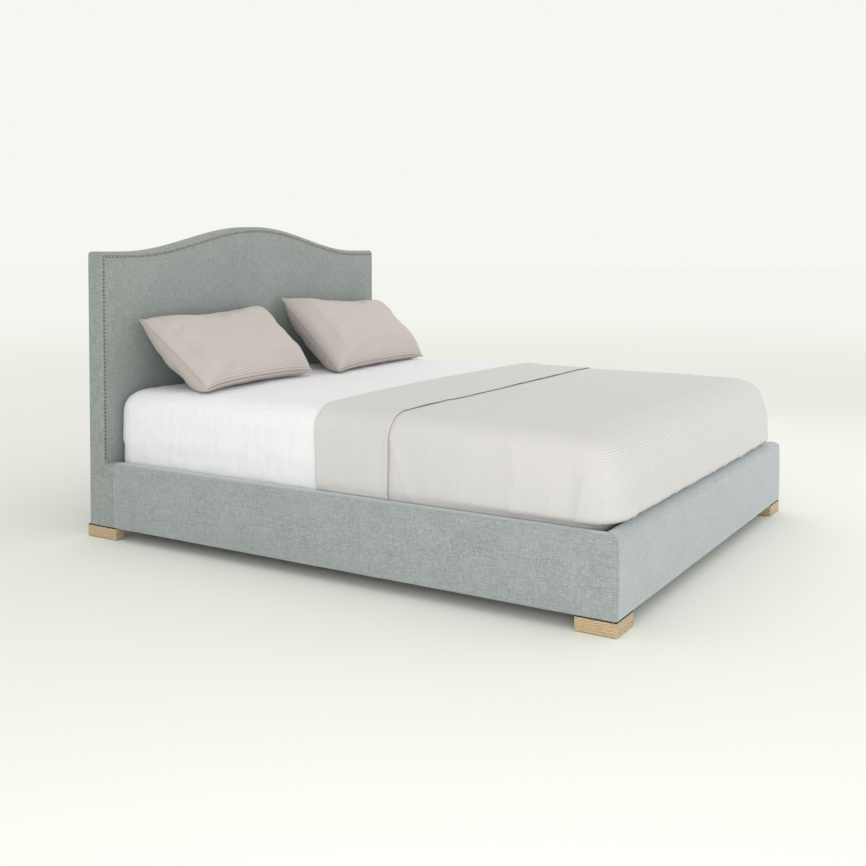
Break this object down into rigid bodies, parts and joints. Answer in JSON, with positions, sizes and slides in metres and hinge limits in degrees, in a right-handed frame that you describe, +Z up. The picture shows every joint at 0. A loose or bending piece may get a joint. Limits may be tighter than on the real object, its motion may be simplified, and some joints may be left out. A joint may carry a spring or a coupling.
{
  "type": "upholstered bed",
  "caption": "Upholstered double bed with a nail-trimmed camelback headboard, box rails and short wooden feet, dressed with mattress, sheet, bedspread and leaning pillows.",
  "frame": {"origin": "on the floor under the middle of the bed's bounding box", "axes": "+Z up, +Y from the foot end to the headboard, +X across the bed"},
  "size_m": [1.94, 2.3, 1.279],
  "materials": {
    "upholstery": "woven linen blend, sage grey",
    "lining": "non-woven lining",
    "foam": "upholstery foam",
    "nails": "antique, domed",
    "oak": "oiled oak",
    "felt": "felt",
    "black_plate": "matt black",
    "black_plastic": "moulded",
    "birch": "laminated birch",
    "painted_steel": "powder coated",
    "zinc_steel": "zinc plated",
    "sheet": "white cotton",
    "bedspread": "ribbed cotton, warm grey",
    "pillow": "ribbed cotton, taupe",
    "filling": "pillow filling",
    "board": "wood fibre board",
    "pine": "planed pine"
  },
  "bodies": {
    "bed_frame": {"beam_hanger_foot": "painted_steel", "beam_hanger_head": "painted_steel", "bed_bolts": "zinc_steel", "centre_beam": "painted_steel", "centre_leg_foot": "birch", "centre_leg_head": "birch", "centre_leg_middle": "birch", "cheek_block_left": "pine", "cheek_block_right": "pine", "cheek_cover_left": "upholstery", "cheek_cover_right": "upholstery", "corner_block_left": "pine", "corner_block_right": "pine", "corner_screws": "zinc_steel", "foot_felts": "felt", "foot_front_left": "oak", "foot_front_right": "oak", "foot_plates": "black_plate", "foot_rail_board": "pine", "foot_rail_cover": "upholstery", "foot_rail_foam": "foam", "foot_rear_left": "oak", "foot_rear_right": "oak", "headboard_back_cloth": "lining", "headboard_bottom_rail": "pine", "headboard_cover": "upholstery", "headboard_foam": "foam", "headboard_middle_rail": "pine", "headboard_panel": "board", "headboard_post_left": "pine", "headboard_post_right": "pine", "headboard_top_rail": "pine", "nails_left": "nails", "nails_right": "nails", "nails_top": "nails", "side_rail_board_left": "pine", "side_rail_board_right": "pine", "side_rail_cover_left": "upholstery", "side_rail_cover_right": "upholstery", "side_rail_foam_left": "foam", "side_rail_foam_right": "foam", "slat_holders_centre": "black_plastic", "slat_holders_left": "black_plastic", "slat_holders_right": "black_plastic", "slat_ledge_left": "pine", "slat_ledge_right": "pine", "slats_left": "birch", "slats_right": "birch"},
    "mattress": {"mattress_core": "foam", "mattress_topper": "foam", "fitted_sheet": "sheet"},
    "bedspread": {"bedspread": "bedspread", "bedspread_turn_down": "bedspread"},
    "pillow_left": {"pillow_case_left": "pillow", "pillow_filling_left": "filling"},
    "pillow_right": {"pillow_case_right": "pillow", "pillow_filling_right": "filling"},
    "glide_foot": {"glide_foot": "black_plastic"},
    "glide_middle": {"glide_middle": "black_plastic"},
    "glide_head": {"glide_head": "black_plastic"}
  },
  "joints": [
    {"name": "mattress_lift", "type": "slide", "parent": "bed_frame", "child": "mattress", "axis": [0, 0, 1], "range_m": [0, 1.05]},
    {"name": "bedspread_lift", "type": "slide", "parent": "mattress", "child": "bedspread", "axis": [0, 0, 1], "range_m": [0, 0.36]},
    {"name": "pillow_left_lift", "type": "slide", "parent": "mattress", "child": "pillow_left", "axis": [0, 0, 1], "range_m": [0, 0.72]},
    {"name": "pillow_right_lift", "type": "slide", "parent": "mattress", "child": "pillow_right", "axis": [0, 0, 1], "range_m": [0, 0.72]},
    {"name": "glide_foot_turn", "type": "hinge", "parent": "bed_frame", "child": "glide_foot", "pos_m": [0, -0.7, 0], "axis": [0, 0, 1], "continuous": true},
    {"name": "glide_middle_turn", "type": "hinge", "parent": "bed_frame", "child": "glide_middle", "pos_m": [0, 0, 0], "axis": [0, 0, 1], "continuous": true},
    {"name": "glide_head_turn", "type": "hinge", "parent": "bed_frame", "child": "glide_head", "pos_m": [0, 0.7, 0], "axis": [0, 0, 1], "continuous": true}
  ]
}
